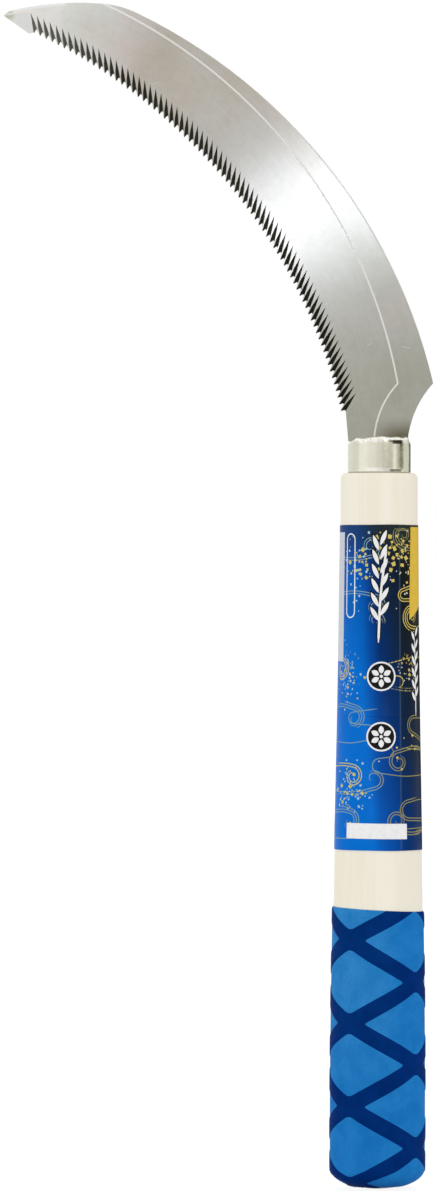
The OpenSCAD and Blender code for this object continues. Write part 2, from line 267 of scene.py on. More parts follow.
# The polished sheet's tones along its arc, each at a share of a right angle about BRUSH_CENTRE
# Besides the steel's colour they are painted reflection: the sheet's brightness along its arc, near
# white by the tip
STEEL_TONES_AND_PAINTED_SHEEN = [
    (0.13, (0.51, 0.514, 0.462)),
    (0.20, (0.57, 0.566, 0.538)),
    (0.27, (0.575, 0.594, 0.59)),
    (0.34, (0.54, 0.55, 0.56)),
    (0.43, (0.62, 0.63, 0.64)),
    (0.50, (0.593, 0.578, 0.551)),
    (0.60, (0.60, 0.578, 0.535)),
    (0.64, (0.60, 0.552, 0.50)),
    (0.67, (0.685, 0.637, 0.612)),
    (0.72, (0.80, 0.80, 0.79)),
    (0.75, (0.82, 0.815, 0.79)),
    (0.80, (0.99, 0.98, 0.97)),
]
# Rubbed streaks by the tip: middle, slope in degrees, length, width and strength
TIP_SMEARS = [((-98.6, 352.4), 27, 7.0, 1.5, 0.8), ((-100.4, 350.2), 24, 5.0, 0.8, 0.6)]
# Scratches: middle, slope in degrees, length, width and strength
SCRATCHES = [
    ((-67.6, 331.0), 30, 2.2, 0.18, 0.7),
    ((8.0, 252.0), -12, 3.4, 0.18, 0.7),
    ((-2.9, 253.0), 20, 1.6, 0.18, 0.7),
]


def streaks(net, place, tone, marks, colour):
    """The tone with a list of straight marks laid over it."""
    for centre, degrees, length, width, strength in marks:
        streak = net.times(net.mark(place, centre, degrees, length, width), strength)
        tone = net.mix(streak, tone, colour)
    return tone


def satin_steel():
    """Belt-polished stainless sheet, grain along the arc, with smears, scratches, painted reflection and
    shade.
    """
    net = Net("satin_steel", {"Metallic": 1.0, "Anisotropic": 1.0})
    place = net.place()
    flat, reach, angle = polar(net, place, BRUSH_CENTRE)
    along = net.times(angle, BRUSH_R)
    drawn = net.join(net.times(reach, 1.6), net.times(along, 0.05), 0)
    grain = net.noise(drawn, 1.0, 3)
    cloud = net.noise(place, 0.05, 3)
    warmth = net.noise(net.vec("ADD", place, (70, 0, 20)), 0.035, 2)
    turn = net.math("DIVIDE", angle, math.pi / 2)
    # Painted reflection: the sheet's brightness along its arc
    tone = net.ramp(turn, STEEL_TONES_AND_PAINTED_SHEEN)
    above_heel = net.step(turn, 0.38, 0.52, 0.25, 1.0)
    warm = net.times(net.step(warmth, 0.42, 0.62, 0.0, 0.6), above_heel)
    tone = net.tint(warm, tone, (0.97, 0.90, 0.84))
    tone = net.tint(net.step(cloud, 0.35, 0.7, 0.0, 0.6), tone, (0.88, 0.90, 0.88))
    tone = net.tint(net.step(grain, 0.35, 0.65, 0.0, 0.5), tone, (0.93, 0.93, 0.93))
    mottle = net.noise(place, 0.45, 4, 0.65)
    tone = net.tint(net.step(mottle, 0.4, 0.7, 0.0, 0.7), tone, (0.92, 0.925, 0.92))
    smear = net.step(net.noise(net.vec("MULTIPLY", place, (0.35, 1, 0.9)), 1.0, 3), 0.42, 0.6)
    near_tip = net.times(smear, net.spot(place, (-103.0, 0, 350.6), 1.5, 5.5))
    tone = net.mix(net.times(near_tip, 0.7), tone, (0.84, 0.84, 0.81))
    tone = streaks(net, place, tone, TIP_SMEARS, (0.88, 0.86, 0.85))
    # Painted shade: a dark line along the back edge, only in the bright fan of the lamp's highlight
    _, back_reach, _ = polar(net, place, BACK_CENTRE)
    rim = net.step(back_reach, BACK_R - 0.5, BACK_R - 0.15)
    painted_edge_shade = net.times(rim, net.step(turn, 0.24, 0.32))
    painted_edge_shade = net.times(painted_edge_shade, net.step(turn, 0.38, 0.48, 0.7, 0.0))
    tone = net.tint(painted_edge_shade, tone, (0.40, 0.40, 0.41))
    x, _, z = net.split(place)
    # Painted shade and dark reflection: the sheet turns dark brown at its right just above the ferrule
    low = net.step(z, MOUTH_Z - 1, MOUTH_Z + 7, 1.0, 0.0)
    painted_ferrule_shade = net.times(low, net.step(x, -5.0, 6.0, 0.0, 0.9))
    tone = net.mix(painted_ferrule_shade, tone, (0.13, 0.11, 0.05))
    tone = streaks(net, place, tone, SCRATCHES, (0.8, 0.79, 0.75))
    rough = net.math("ADD", 0.30, net.step(cloud, 0.2, 0.8, -0.015, 0.02))
    normal = net.bump(grain, 0.05, 0.03)
    return net.use(Base_Color=tone, Roughness=rough, Tangent=net.vec("NORMALIZE", flat), Normal=normal)


def ground_steel(name, dark, light, roughness, metallic=1.0, far=None):
    """Steel as the grinding wheel left it, with its marks across the edge.

    Where `far` is given, the tone is darker at the handle and turns to `far` near the tip, as painted
    reflection.
    """
    net = Net(name, {"Metallic": metallic})
    place = net.place()
    _, reach, angle = polar(net, place, EDGE_CENTRE)
    across = net.join(net.times(angle, 900.0), net.times(reach, 0.4), 0)
    marks = net.noise(across, 1.0, 2)
    tone = net.mix(marks, dark, light)
    if far:
        by_handle = net.step(angle, math.radians(26), math.radians(34), 0.7, 0.0)
        by_tip = net.step(angle, math.radians(54), math.radians(66), 0.0, 0.75)
        tone = net.tint(by_handle, tone, (0.35, 0.35, 0.35))
        tone = net.mix(by_tip, tone, far)
    tip = net.spot(place, (TIP[0] + 1.6, 0, TIP[1]), 0.8, 2.4)
    tone = net.mix(net.times(tip, 0.7), tone, (0.50, 0.53, 0.38))
    rough = net.step(marks, 0.3, 0.7, roughness, roughness + 0.06)
    return net.use(Base_Color=tone, Roughness=rough, Normal=net.bump(marks, 0.1, 0.02))


# Painted light on the plated tube: angle from the front, half width in degrees, heights, strength and
# tone
# A highlight low at the front, dark reflections low at the right and under the rim, shade all round at
# the foot
FERRULE_PAINTED_LIGHT = [
    (0, 26, HANDLE_LEN + 0.5, HANDLE_LEN + 1.5, 0.85, (0.98, 0.96, 0.93)),
    (31, 13, HANDLE_LEN + 0.35, HANDLE_LEN + 1.1, 0.85, (0.11, 0.10, 0.06)),
    (0, 180, HANDLE_LEN - 0.3, HANDLE_LEN + 0.35, 0.6, (0.34, 0.31, 0.24)),
    (28, 12, MOUTH_Z - 1.7, MOUTH_Z - 1.1, 0.75, (0.12, 0.09, 0.05)),
    (43, 4, MOUTH_Z - 3.2, MOUTH_Z - 1.1, 0.55, (0.14, 0.12, 0.07)),
    (34, 11, MOUTH_Z - 2.2, MOUTH_Z - 1.0, 0.95, (0.03, 0.022, 0.01)),
]


def chrome():
    """Plated ferrule, a little warm, faintly dented by crimping, with painted highlights, reflections
    and shade.
    """
    net = Net("chrome", {"Metallic": 1.0})
    place = net.place()
    cloud = net.noise(place, 0.3, 2)
    fine = net.noise(place, 1.2, 3)
    tone = net.mix(cloud, (0.74, 0.72, 0.60), (0.84, 0.82, 0.70))
    turn, z = net.around(place)
    uneven = net.math("MULTIPLY_ADD", net.noise(place, 0.7, 3), 3.0, z)
    rim = net.step(uneven, MOUTH_Z - 0.5, MOUTH_Z + 0.1)
    # Painted highlight: the rolled rim turns unevenly near white
    rim_highlight = net.mix(net.step(fine, 0.45, 0.65), (0.99, 0.97, 0.93), (0.80, 0.80, 0.66))
    tone = net.mix(rim, tone, rim_highlight)
    # Painted highlight, dark reflections and shade laid over the tube
    for aim, wide, low, high, strength, colour in FERRULE_PAINTED_LIGHT:
        aside = net.math("ABSOLUTE", net.math("SUBTRACT", turn, math.radians(aim)))
        middle, half = (low + high) / 2, (high - low) / 2
        beside = net.math("ABSOLUTE", net.math("SUBTRACT", z, middle))
        mark = net.times(
            net.step(aside, math.radians(wide) * 0.7, math.radians(wide) * 1.2, 1.0, 0.0),
            net.step(beside, half * 0.6, half * 1.3, strength, 0.0),
        )
        tone = net.mix(mark, tone, colour)
    rough = net.step(fine, 0.3, 0.7, 0.19, 0.25)
    return net.use(Base_Color=tone, Roughness=rough, Normal=net.bump(cloud, 0.2, 0.3))


def pale_wood():
    """Bare sanded wood with faint long fibres, and painted shade at its right side."""
    net = Net("pale_wood", {"Specular IOR Level": 0.2})
    place = net.place()
    x, y, z = net.split(place)
    long_way = net.join(x, y, net.times(z, 0.035))
    broad = net.noise(long_way, 0.22, 3, 0.5, 0.6)
    fibre = net.noise(net.join(x, y, net.times(z, 0.02)), 2.6, 4, 0.6)
    tone = net.mix(net.step(broad, 0.35, 0.65), (0.93, 0.87, 0.72), (0.96, 0.91, 0.78))
    # Painted shade: the wood darkens towards its right side
    tone = net.mix(net.step(x, 2.0, 12.0, 0.0, 0.5), tone, (0.86, 0.80, 0.70))
    tone = net.mix(net.step(fibre, 0.5, 0.75, 0.0, 0.16), tone, (0.80, 0.71, 0.56))
    rough = net.step(fibre, 0.3, 0.7, 0.55, 0.65)
    return net.use(Base_Color=tone, Roughness=rough, Normal=net.bump(fibre, 0.2, 0.05))


def drawn_wire():
    """Plain steel wire of the pin."""
    net = Net("drawn_wire", {"Metallic": 1.0})
    place = net.place()
    fine = net.noise(place, 4.0, 3)
    tone = net.mix(fine, (0.5, 0.5, 0.49), (0.6, 0.6, 0.58))
    return net.use(Base_Color=tone, Roughness=net.step(fine, 0.2, 0.8, 0.3, 0.45))


# How far the film's print has darkened at angles from the front, in degrees
FILM_SHADES = [(-180, 0.5), (-120, 0.2), (-60, 0.1), (-34, 0.15), (-24, 0.22), (-12, 0.4), (1, 0.6)]
FILM_SHADES += [(10, 0.67), (28, 0.78), (37, 0.92), (60, 1.0), (100, 1.0), (180, 0.5)]
# The print's tones from its brightest to its darkest
FILM_TONES = [
    (0.0, (0.0, 0.165, 0.66)),
    (0.25, (0.0, 0.075, 0.38)),
    (0.45, (0.0, 0.032, 0.17)),
    (0.65, (0.004, 0.018, 0.055)),
    (0.85, (0.005, 0.009, 0.014)),
    (1.0, (0.012, 0.013, 0.004)),
]


def printed_film():
    """Shrunk film printed from bright blue at its left to navy, near black at its upper right, and a
    painted highlight on its seam.
    """
    net = Net("printed_film", {"Specular IOR Level": 0.04})
    place = net.place()
    turn, z = net.around(place)
    around = net.math("MULTIPLY_ADD", turn, 1 / (2 * math.pi), 0.5)
    side = net.ramp(around, [(0.5 + degrees / 360, shade) for degrees, shade in FILM_SHADES])
    rising = net.math("MULTIPLY_ADD", z, 0.006, -1.104)
    high = net.math("ADD", rising, net.step(z, 184.0, 198.0, 0.0, 0.16))
    tone = net.ramp(net.math("ADD", side, high, clamp=True), FILM_TONES)
    # Painted highlight: a lighter streak along the welded seam
    seam_highlight = net.step(net.math("ABSOLUTE", net.math("SUBTRACT", turn, SEAM)), 0.006, 0.03, 0.5, 0.0)
    tone = net.mix(seam_highlight, tone, (0.07, 0.11, 0.16))
    cloud = net.noise(place, 0.12, 3)
    tone = net.tint(net.step(cloud, 0.35, 0.7, 0.0, 0.5), tone, (0.8, 0.86, 0.9))
    tone = net.mix(net.step(z, 184.0, 197.0, 0.0, 0.35), tone, (0.028, 0.055, 0.075))
    upright = net.join(net.times(turn, 4.0), net.times(z, 0.15), 0)
    crease = net.noise(upright, 1.2, 3)
    rough = net.step(crease, 0.3, 0.7, 0.3, 0.4)
    return net.use(Base_Color=tone, Roughness=rough, Normal=net.bump(crease, 0.15, 0.1))


def ink(name, left, right):
    """One printed colour of the label, slightly uneven, and duller towards its dark side."""
    net = Net(name, {"Specular IOR Level": 0.1})
    place = net.place()
    turn, _ = net.around(place)
    cloud = net.noise(place, 0.9, 3)
    tone = net.mix(net.step(turn, -0.3, 0.5), left, right)
    tone = net.mix(net.step(cloud, 0.4, 0.7, 0.0, 0.25), tone, tuple(0.7 * v for v in right))
    return net.use(Base_Color=tone, Roughness=net.step(cloud, 0.3, 0.7, 0.4, 0.5))


def grip_plastic(name, deep, pale, edge):
    """Matte heat-shrunk sleeve, faintly mottled, and a deeper blue at its right and by the butt."""
    net = Net(name, {"Specular IOR Level": 0.01})
    place = net.place()
    broad = net.noise(place, 0.16, 3)
    mottle = net.noise(place, 1.1, 4, 0.65)
    tone = net.mix(net.step(broad, 0.3, 0.7), deep, pale)
    turn, z = net.around(place)
    rich = net.math("MAXIMUM", net.step(turn, -0.2, 0.6), net.step(z, 20.0, 62.0, 1.0, 0.0))
    tone = net.tint(net.times(rich, 0.9), tone, (0.45, 0.83, 0.95))
    tone = net.mix(net.step(mottle, 0.45, 0.75, 0.0, 0.5), tone, edge)
    fine = net.noise(place, 3.2, 3)
    rough = net.step(fine, 0.3, 0.7, 0.5, 0.62)
    return net.use(Base_Color=tone, Roughness=rough, Normal=net.bump(fine, 0.3, 0.05))


STEEL = satin_steel()
# Painted dark reflection: the grooves' long walls are near black, darker by the handle and lighter by
# the tip
GROOVE_PAINTED_DARK = ground_steel(
    "groove_steel_painted_dark", (0.02, 0.02, 0.012), (0.045, 0.043, 0.03), 0.25, far=(0.19, 0.19, 0.17)
)
GROUND = ground_steel("ground_steel", (0.72, 0.72, 0.71), (0.87, 0.88, 0.88), 0.3)
# Painted highlight: the pressed slope is near-white, partly matte steel, so that it shows as a bright
# line
STEP_PAINTED_HIGHLIGHT = ground_steel("step_steel_painted_highlight", (0.88, 0.87, 0.84), (0.98, 0.97, 0.95), 0.3, 0.3)
CHROME = chrome()
WOOD = pale_wood()
WIRE = drawn_wire()
FILM = printed_film()
LINE_INK = ink("line_ink", (0.20, 0.36, 0.42), (0.30, 0.27, 0.10))
GOLD_INK = ink("gold_ink", (0.64, 0.58, 0.15), (0.72, 0.56, 0.12))
SPECK_INK = ink("speck_ink", (0.38, 0.60, 0.80), (0.60, 0.60, 0.50))
PANEL_INK = ink("panel_ink", (0.62, 0.66, 0.72), (0.62, 0.66, 0.72))
PENNANT_INK = ink("pennant_ink", (0.74, 0.47, 0.03), (0.76, 0.50, 0.04))
WHITE_INK = ink("white_ink", (0.93, 0.93, 0.93), (0.92, 0.92, 0.93))
BLACK_INK = ink("black_ink", (0.006, 0.006, 0.008), (0.006, 0.006, 0.007))
BLUE = grip_plastic("grip_blue", (0.018, 0.205, 0.54), (0.034, 0.25, 0.61), (0.012, 0.165, 0.47))
NAVY = grip_plastic("grip_navy", (0.0, 0.026, 0.155), (0.0005, 0.034, 0.19), (0.0, 0.02, 0.125))


def dress(node, *materials):
    """Gives a CAD node its looks: the given materials, in place of its own."""
    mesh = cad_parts[node].data
    mesh.materials.clear()
    for material in materials:
        mesh.materials.append(material)
    return mesh


# Y of the blade's normals, from -1 at the front to 1 at the back: where the flat front ends, the slopes
# begin and end, the steep walls end, and the bevel on the back lies
FRONT_END = -0.9985
SLOPE_START = -0.9
SLOPE_END = -0.6
STEEP_END = -0.2
BACK_BEVEL = (0.2, 0.97)


def blade_steel(place, lean):
    """Which steel a face has, by its middle in millimetres and its normal.

    0 is rolled sheet, 1 a groove's long wall, 2 another ground face and 3 the pressed slope.
    """
    toothed = math.dist((place.x, place.z), EDGE_CENTRE) < GROOVES_END_R
    if SLOPE_START < lean.y < SLOPE_END:
        return 1 if toothed else 3
    if toothed and (SLOPE_END <= lean.y < STEEP_END or BACK_BEVEL[0] < lean.y < BACK_BEVEL[1]):
        return 2
    return 2 if place.x < TIP_BEVEL_X and FRONT_END < lean.y < SLOPE_START else 0


for face in dress("blade", STEEL, GROOVE_PAINTED_DARK, GROUND, STEP_PAINTED_HIGHLIGHT).polygons:
    face.material_index = blade_steel(face.center / MM, face.normal)
dress("handle", WOOD)
dress("tang_pin", WIRE)


def make_piece(name, verts, faces, material, node):
    """A smooth piece from points in millimetres. It rides on the only body and stands for a CAD node."""
    mesh = bpy.data.meshes.new(name)
    mesh.from_pydata([Vector(v) * MM for v in verts], [], faces)
    mesh.materials.append(material)
    for polygon in mesh.polygons:
        polygon.use_smooth = True
    mesh.validate()
    made = show(name, mesh)
    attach(made, "root")
    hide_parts(node)


def on_round(turn, z, r):
    """The point at an angle from the front of the handle, in radians, at a height and radius."""
    return (r * math.sin(turn), -r * math.cos(turn), z)


def ring_faces(rows, columns):
    """Faces all round a closed section, whose points are listed row by row."""
    faces = []
    for j in range(rows):
        k = (j + 1) % rows
        for i in range(columns):
            i2 = (i + 1) % columns
            faces.append((j * columns + i, j * columns + i2, k * columns + i2, k * columns + i))
    return faces


FERRULE_COLUMNS = 144
# Height up to which the tube is straight
STRAIGHT_H = 7.6
# The rim's dips at both sides: depth, half width in degrees, and how many degrees they take to fade
DIP = 1.38
DIP_HALF = 9
DIP_FADE_LEFT = 38
DIP_FADE_RIGHT = 14
# A burr on the rim: height, and its middle and width in degrees
BURR_H = 0.5
BURR_TURN = 66
BURR_WIDTH = 7


def make_ferrule():
    """Plated tube, its mouth rolled in and dipping where the blade's shoulders pass."""
    r, wall, rim = FERRULE_R, FERRULE_WALL, RIM_ROUND
    rows = [(r - wall, 0.0), (r - 0.25, 0.0), (r - 0.08, 0.1), (r, 0.35)]
    rows += [(r, 2.0), (r, 4.0), (r, 6.0), (r, STRAIGHT_H)]
    centre = FERRULE_LEN - rim
    for k in range(9):
        a = math.radians(90 * k / 8)
        rows.append((r - rim + rim * math.cos(a), centre + rim * math.sin(a)))
    rows += [(r - rim - 0.3, FERRULE_LEN - 0.02), (r - rim - 0.42, FERRULE_LEN - 0.2)]
    rows += [(r - rim - 0.3, FERRULE_LEN - wall)]
    for k in range(1, 5):
        a = math.radians(90 - 90 * k / 4)
        rows.append((r - rim + (rim - wall) * math.cos(a), centre + (rim - wall) * math.sin(a)))
    rows.append((r - wall, STRAIGHT_H))

    def height(z, turn):
        """Height of a point of the tube, with the rim's dips, waves and burr."""
        from_front = math.degrees(math.atan2(math.sin(turn), math.cos(turn)))
        side = abs(abs(from_front) - 90)
        fade = DIP_FADE_LEFT if from_front < 0 else DIP_FADE_RIGHT
        dip = DIP * (1 - smooth((side - DIP_HALF) / fade))
        wave = 0.14 * math.sin(3 * turn + 0.9) + 0.10 * math.sin(7 * turn + 2.2)
        wave = wave + 0.07 * math.sin(13 * turn) - 0.12
        burr = BURR_H * math.exp(-(((from_front - BURR_TURN) / BURR_WIDTH) ** 2))
        share = smooth((z - 5.5) / 4.4)
        uneven = (wave + burr) * smooth((side - DIP_HALF) / DIP_FADE_RIGHT)
        return HANDLE_LEN + z + share * (uneven - dip)

    turns = [2 * math.pi * i / FERRULE_COLUMNS for i in range(FERRULE_COLUMNS)]
    verts = [on_round(turn, height(z, turn), radius) for radius, z in rows for turn in turns]
    faces = ring_faces(len(rows), FERRULE_COLUMNS)
    make_piece("ferrule_tube", verts, faces, CHROME, "ferrule")


def seam_ridge(turn):
    """How far the film stands up along its welded seam."""
    return SEAM_H * (1 - smooth((abs(math.degrees(turn - SEAM)) - 0.4) / 1.5))


FILM_ROWS = 40
FILM_COLUMNS = 180


def make_film():
    """Label film, with the faint ridge of its seam and slightly uneven ends."""
    outer = WOOD_FIT + FILM_T
    heights = [LABEL_BOTTOM + (LABEL_TOP - LABEL_BOTTOM) * k / FILM_ROWS for k in range(1, FILM_ROWS)]
    rows = [(WOOD_FIT, LABEL_BOTTOM), (outer - 0.04, LABEL_BOTTOM), (outer, LABEL_BOTTOM + 0.05)]
    rows += [(outer, z) for z in heights]
    rows += [(outer, LABEL_TOP - 0.05), (outer - 0.04, LABEL_TOP), (WOOD_FIT, LABEL_TOP)]
    turns = [2 * math.pi * i / FILM_COLUMNS for i in range(FILM_COLUMNS)]
    turns = sorted(turns + SEAM_TURNS)
    verts = []
    for off, z in rows:
        for turn in turns:
            ridge = seam_ridge(turn) if off > 0.1 else 0.0
            end = 0.05 * math.sin(2 * turn + 0.7) + 0.03 * math.sin(5 * turn)
            share = max(0.0, 1 - min(z - LABEL_BOTTOM, LABEL_TOP - z) / 3)
            at = z + end * share * (1 if z > 150 else -1)
            verts.append(on_round(turn, at, wood_r(at) + off + ridge))
    faces = ring_faces(len(rows), len(turns))
    make_piece("label_film", verts, faces, FILM, "label_sleeve")


# The grip's skin is measured up from the top of the butt's rounding. A radian of that is this long
ROUNDING_REACH = 9.0
GRIP_TOP = GRIP_LEN - BUTT_ROUND_H
GRIP_BOTTOM = (math.asin(GRIP_OPENING_R / BUTT_R) - math.pi / 2) * ROUNDING_REACH
GRIP_MIDDLE_Z = 40
# How far the sleeve's upper edge drops and leans, and the length of skin that evens this out
TOP_DROP = 0.1
TOP_LEAN = 0.68
TOP_FADE = 30
# The bands' rise in one turn and in one radian, their spacing, and the angle and height of a crossing
BAND_LEAD = 49.5
LEAD = BAND_LEAD / (2 * math.pi)
BAND_STEP = 24.75
CROSSING = (math.radians(-38), 74.6)
# The two families of bands lie along whole p and whole q, which lattice() counts in spacings from here
P0 = CROSSING[1] - BUTT_ROUND_H + LEAD * CROSSING[0]
Q0 = CROSSING[1] - BUTT_ROUND_H - LEAD * CROSSING[0]
# In shares of the spacing: a band's half width, the width of its side, the roundness of the diamonds'
# blunt and sharp corners, how far that reaches from a band's edge, and the cuts beside the edge
BAND_HALF = 0.111
BAND_SIDE = 0.016
BLUNT_ROUND = 0.055
SHARP_ROUND = 0.03
CORNER_REACH = 0.085
EDGE_CUTS = (-BAND_SIDE, 0.0, 0.014, 0.028, 0.042, 0.056, 0.075)
# Even cuts over a spacing, of which those by a band's edge are left out
EVEN_CUTS = 24


def grip_profile(s):
    """Radius, height and outward direction at a distance up the grip's skin."""
    if s >= 0:
        z = BUTT_ROUND_H + s
        return wood_r(z), z, (1.0, 0.0)
    flat = math.asin(BUTT_FLAT_R / BUTT_R)
    high = BUTT_ROUND_H / math.cos(flat)
    a = math.pi / 2 + s / ROUNDING_REACH
    n = Vector((high * math.sin(a), -BUTT_R * math.cos(a))).normalized()
    return BUTT_R * math.sin(a), high * (math.cos(flat) - math.cos(a)), (n.x, n.y)


def rounded(p, q):
    """The lattice position (p, q), drawn in near a diamond's corner, so that the corner is round."""
    mid_p, mid_q = math.floor(p) + 0.5, math.floor(q) + 0.5
    a, b = p - mid_p, q - mid_q
    ring = max(abs(a), abs(b))
    edge = 0.5 - BAND_HALF
    near = max(0.0, 1 - abs(ring - edge) / CORNER_REACH)
    corner = (BLUNT_ROUND if a * b > 0 else SHARP_ROUND) * near
    over = min(abs(a), abs(b)) - (ring - corner)
    if corner == 0 or over <= 0:
        return p, q
    bend = over / corner * math.pi / 4
    far, short = ring - corner * (1 - math.cos(bend)), ring - corner * (1 - math.sin(bend))
    if abs(a) < abs(b):
        far, short = short, far
    return mid_p + math.copysign(far, a), mid_q + math.copysign(short, b)


def lattice(turn, s):
    """The lattice position (p, q) of a point of the skin."""
    return (s + LEAD * turn - P0) / BAND_STEP, (s - LEAD * turn - Q0) / BAND_STEP


def band(turn, s):
    """How far a point is from the middle of the nearest band, as a share of the bands' spacing."""
    p, q = lattice(turn, s)
    return min(abs(p - round(p)), abs(q - round(q)))


def grip_point(turn, s, lift):
    """A point of the sleeve at a height over the wood."""
    askew = (-TOP_DROP - TOP_LEAN * math.sin(turn)) * smooth((s - GRIP_TOP + TOP_FADE) / TOP_FADE)
    r, z, (nx, nz) = grip_profile(s + askew)
    return Vector(on_round(turn, z + lift * nz, r + lift * nx))


def lattice_cuts():
    """Where the sheet is cut across one spacing, close together by the bands' edges."""
    even = [k / EVEN_CUTS for k in range(EVEN_CUTS)]
    in_field = [m for m in even if BAND_HALF + 0.09 < m < 1 - BAND_HALF - 0.09]
    in_band = [m for m in even if abs(m - 0.5) > 0.53 - BAND_HALF]
    by_edge = [m for off in EDGE_CUTS for m in (BAND_HALF + off, 1 - BAND_HALF - off)]
    return sorted(in_field + in_band + by_edge)


def lattice_sheet():
    """The sleeve opened out flat, as (turn, s), cut along the bands and then to size."""
    cuts = lattice_cuts()
    span = BAND_LEAD / 2 + 1
    lines = []
    for base in (P0, Q0):
        lo = math.floor((GRIP_BOTTOM - span - base) / BAND_STEP)
        hi = math.ceil((GRIP_TOP + span - base) / BAND_STEP)
        lines.append([k + m for k in range(lo, hi + 1) for m in cuts])
    bm = bmesh.new()
    grid = {}
    for i, p in enumerate(lines[0]):
        for j, q in enumerate(lines[1]):
            pp, qq = P0 + p * BAND_STEP, Q0 + q * BAND_STEP
            turn, s = (pp - qq) / (2 * LEAD), (pp + qq) / 2
            if abs(turn) < math.pi + 0.3 and GRIP_BOTTOM - 3 < s < GRIP_TOP + 3:
                grid[i, j] = bm.verts.new((turn, s, 0))
    for i, j in list(grid):
        around = [grid.get(k) for k in ((i, j), (i + 1, j), (i + 1, j + 1), (i, j + 1))]
        if None not in around:
            bm.faces.new(around)
    sides = [
        ((0, GRIP_TOP, 0), (0, 1, 0)),
        ((0, GRIP_BOTTOM, 0), (0, -1, 0)),
        ((math.pi, 0, 0), (1, 0, 0)),
        ((-math.pi, 0, 0), (-1, 0, 0)),
    ]
    for point, normal in sides:
        geom = bm.verts[:] + bm.edges[:] + bm.faces[:]
        bmesh.ops.bisect_plane(
            bm, geom=geom, dist=1e-6, plane_co=point, plane_no=normal, clear_outer=True
        )
    return bm


def make_grip():
    """Heat-shrunk sleeve as diamonds between two families of raised bands."""
    bm = lattice_sheet()
    for face in bm.faces:
        centre = face.calc_center_median()
        face.material_index = 1 if band(centre.x, centre.y) < BAND_HALF else 0
    for v in bm.verts:
        turn, s = v.co.x, v.co.y
        height = BAND_H * (1 - smooth((band(turn, s) - (BAND_HALF - BAND_SIDE)) / BAND_SIDE))
        end = smooth(min(GRIP_TOP - s, s - GRIP_BOTTOM) / 0.6)
        p, q = lattice(turn, s)
        round_p, round_q = rounded(p, q)
        turn += end * BAND_STEP * (round_p - p - round_q + q) / (2 * LEAD)
        s += end * BAND_STEP * (round_p - p + round_q - q) / 2
        v.co = grip_point(turn, s, WOOD_FIT + GRIP_WALL * (0.45 + 0.55 * end) + height * end)
    bmesh.ops.remove_doubles(bm, verts=bm.verts[:], dist=1e-4)
    rims = [e for e in bm.edges if e.is_boundary]
    inner = bmesh.ops.extrude_edge_only(bm, edges=rims)
    for v in inner["geom"]:
        if isinstance(v, bmesh.types.BMVert):
            s = GRIP_TOP if v.co.z > GRIP_MIDDLE_Z else GRIP_BOTTOM
            v.co = grip_point(math.atan2(v.co.x, -v.co.y), s, WOOD_FIT)
    bmesh.ops.recalc_face_normals(bm, faces=bm.faces[:])
    for v in bm.verts:
        v.co *= MM
    mesh = mesh_of(bm, "grip_lattice", BLUE, NAVY)
    for polygon in mesh.polygons:
        polygon.use_smooth = True
    made = show("grip_lattice", mesh)
    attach(made, "root")
    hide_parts("grip_sleeve")


def film_r(z):
    """Radius of the film's outside."""
    return wood_r(z) + WOOD_FIT + FILM_T


FILM_MEAN_R = film_r((LABEL_BOTTOM + LABEL_TOP) / 2)


def on_film(u, z, lift):
    """A point of the print: u is measured round the film in millimetres from the front."""
    turn = u / FILM_MEAN_R
    return Vector(on_round(turn, z, film_r(z) + seam_ridge(turn) + lift))


# How far the inks reach into the film
INK_DEPTH = 0.02


class Print:
    """Closed thin shapes of one ink, laid on the film at a height over it."""

    def __init__(self, lift):
        self.lift = lift
        self.bm = bmesh.new()

    def wrap(self, flat):
        """Cuts a flat shape into strips that follow the film, lays it there and closes its sides."""
        places = [v.co.x for v in flat.verts]
        cuts = list(range(math.ceil(min(places)), math.ceil(max(places))))
        cuts += [turn * FILM_MEAN_R for turn in SEAM_TURNS]
        for u in cuts:
            if min(places) < u < max(places):
                geom = flat.verts[:] + flat.edges[:] + flat.faces[:]
                bmesh.ops.bisect_plane(flat, geom=geom, plane_co=(u, 0, 0), plane_no=(1, 0, 0))
        bmesh.ops.triangulate(flat, faces=flat.faces[:])
        upper = {v: self.bm.verts.new(on_film(v.co.x, v.co.y, self.lift)) for v in flat.verts}
        lower = {v: self.bm.verts.new(on_film(v.co.x, v.co.y, -INK_DEPTH)) for v in flat.verts}
        for face in flat.faces:
            self.bm.faces.new([upper[v] for v in face.verts])
            self.bm.faces.new([lower[v] for v in reversed(face.verts)])
        for edge in flat.edges:
            if edge.is_boundary:
                loop = edge.link_loops[0]
                a, b = loop.vert, loop.link_loop_next.vert
                self.bm.faces.new((upper[b], upper[a], lower[a], lower[b]))
        flat.free()

    def shape(self, outline):
        """A filled outline of (u, z) points."""
        flat = bmesh.new()
        flat.faces.new([flat.verts.new((u, z, 0)) for u, z in outline])
        self.wrap(flat)

    def line(self, points, width, closed=False):
        """A stroke along (u, z) points, tapering at both ends unless it is closed."""
        n = len(points)
        flat = bmesh.new()
        pairs = []
        for i, (u, z) in enumerate(points):
            before, after = points[i - 1], points[(i + 1) % n]
            if not closed:
                before, after = points[max(i - 1, 0)], points[min(i + 1, n - 1)]
            way = Vector((after[0] - before[0], after[1] - before[1])).normalized()
            taper = 1.0 if closed else min(1.0, 0.35 + 0.22 * min(i, n - 1 - i))
            half = width / 2 * taper
            sides = [(u + side * way.y * half, z - side * way.x * half, 0) for side in (-1, 1)]
            pairs.append([flat.verts.new(point) for point in sides])
        for a, b in zip(pairs, pairs[1:] + (pairs[:1] if closed else [])):
            flat.faces.new((a[0], a[1], b[1], b[0]))
        self.wrap(flat)

    def lay(self, name, material):
        """Puts the shapes into the scene as one piece."""
        bmesh.ops.recalc_face_normals(self.bm, faces=self.bm.faces[:])
        for v in self.bm.verts:
            v.co *= MM
        made = show(name, mesh_of(self.bm, name, material))
        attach(made, "root")


